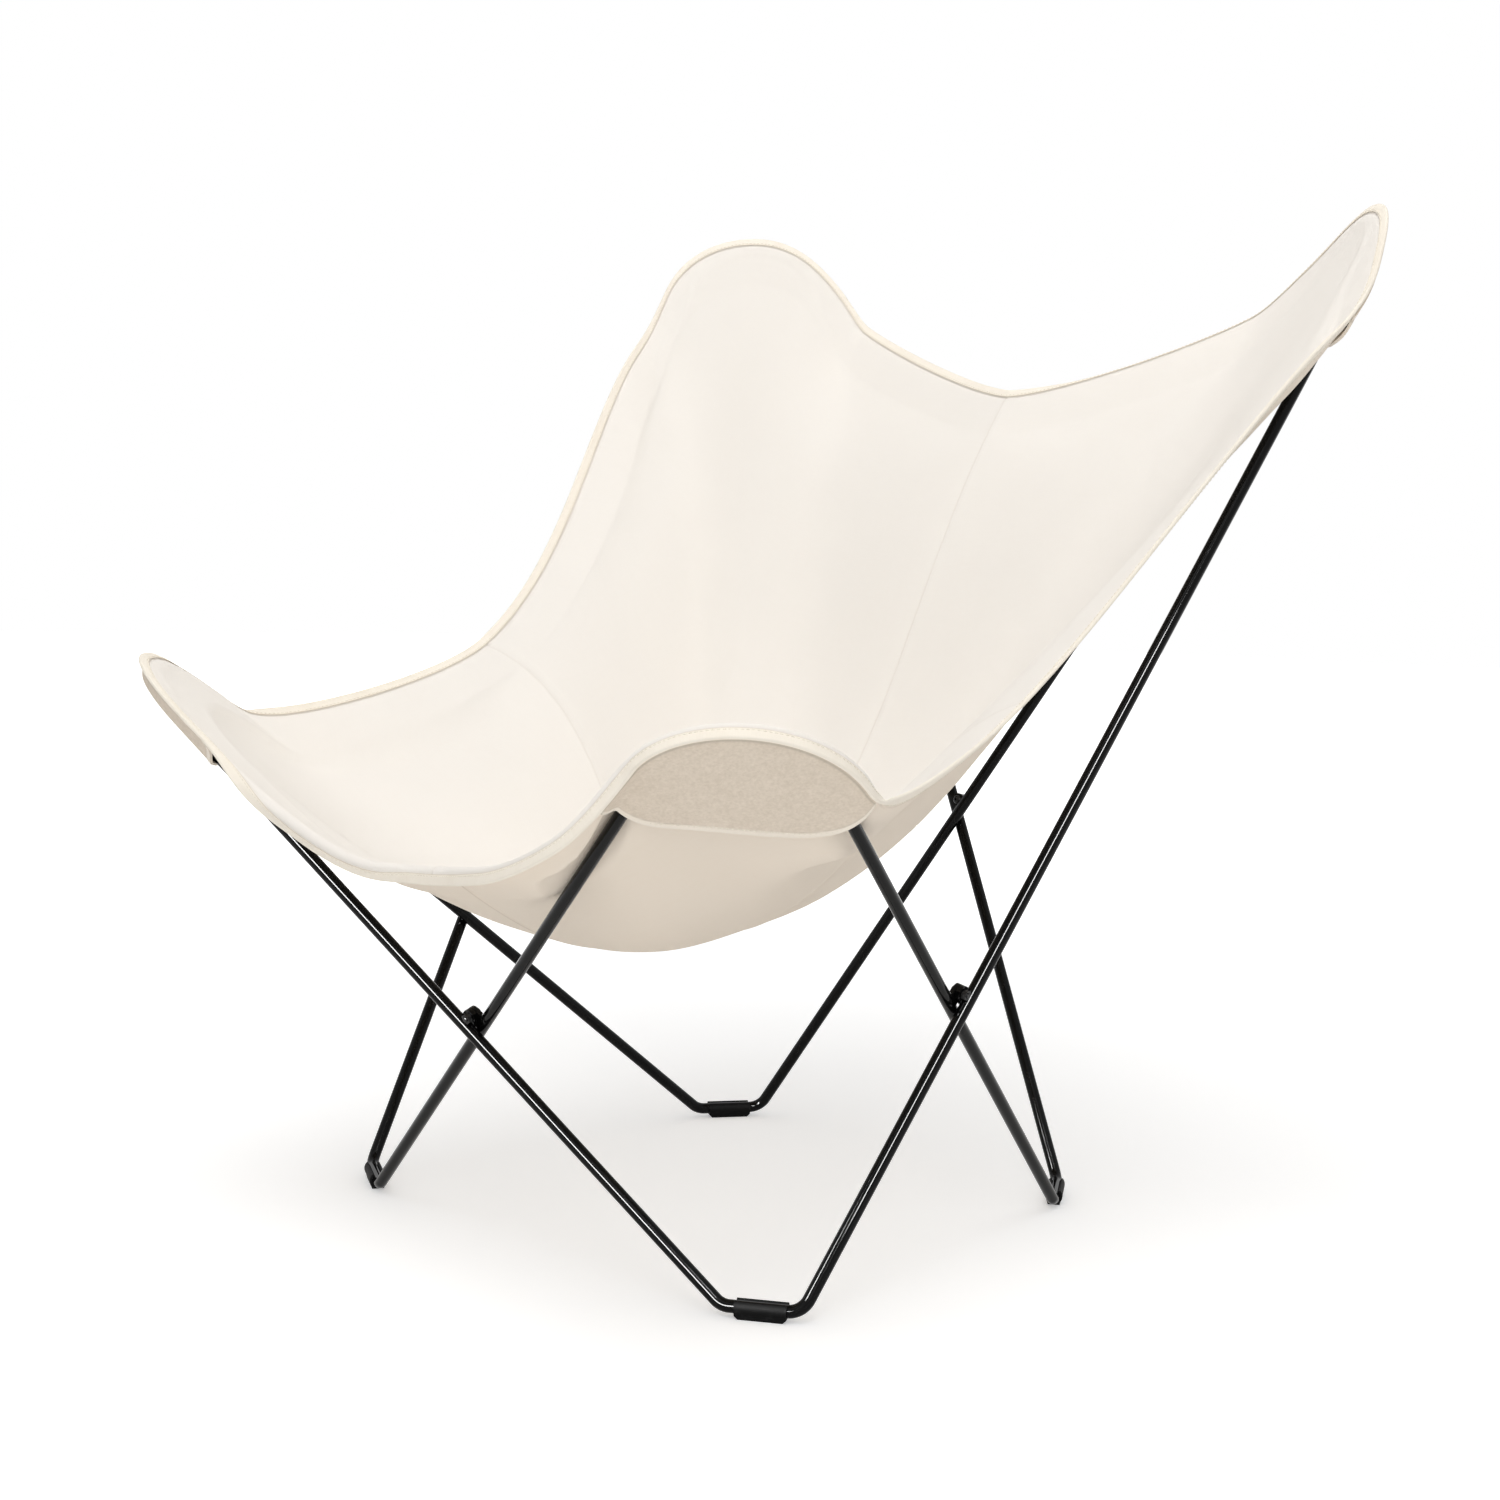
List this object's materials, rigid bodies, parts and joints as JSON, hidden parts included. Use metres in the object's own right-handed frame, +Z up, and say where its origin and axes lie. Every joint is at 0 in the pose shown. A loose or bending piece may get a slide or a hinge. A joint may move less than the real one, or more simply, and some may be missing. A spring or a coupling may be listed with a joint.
{
  "type": "butterfly sling chair",
  "caption": "Low lounge chair: a sewn canvas sling hangs by pockets over the horns of bent rod loops that are bolted where they cross and stand on clip-on feet.",
  "frame": {"origin": "on the floor, under the middle of the overall box", "axes": "+Z up, the chair faces -Y, the sitter's left is +X"},
  "size_m": [0.8878, 0.9004, 0.9293],
  "materials": {
    "rod_paint": "gloss black powder coat",
    "foot_plastic": "matte black",
    "bolt_steel": "black oxide",
    "canvas": "natural cream cotton canvas",
    "pocket_canvas": "natural cream canvas, brushed outer face",
    "binding_tape": "folded cream tape, stitched"
  },
  "bodies": {
    "root": {"rod_loop_front_left": "rod_paint", "rod_loop_front_right": "rod_paint", "crossing_lug_front_outer": "rod_paint", "crossing_lug_front_inner": "rod_paint", "crossing_lug_left_outer": "rod_paint", "crossing_lug_left_inner": "rod_paint", "crossing_lug_right_outer": "rod_paint", "crossing_lug_right_inner": "rod_paint", "crossing_lug_back_outer": "rod_paint", "crossing_lug_back_inner": "rod_paint", "foot_sleeve_front_left": "foot_plastic", "foot_sleeve_front_right": "foot_plastic", "foot_sleeve_back_left": "foot_plastic", "foot_sleeve_back_right": "foot_plastic", "crossing_bolt_front": "bolt_steel", "crossing_bolt_left": "bolt_steel", "crossing_bolt_right": "bolt_steel", "crossing_bolt_back": "bolt_steel", "crossing_nut_front": "bolt_steel", "crossing_nut_left": "bolt_steel", "crossing_nut_right": "bolt_steel", "crossing_nut_back": "bolt_steel", "sling_panel_front_left": "canvas", "sling_panel_front_right": "canvas", "sling_panel_back_left": "canvas", "sling_panel_back_right": "canvas", "pocket_flap_front_left": "pocket_canvas", "pocket_flap_front_right": "pocket_canvas", "pocket_flap_back_left": "pocket_canvas", "pocket_flap_back_right": "pocket_canvas", "edge_binding": "binding_tape"}
  },
  "joints": []
}
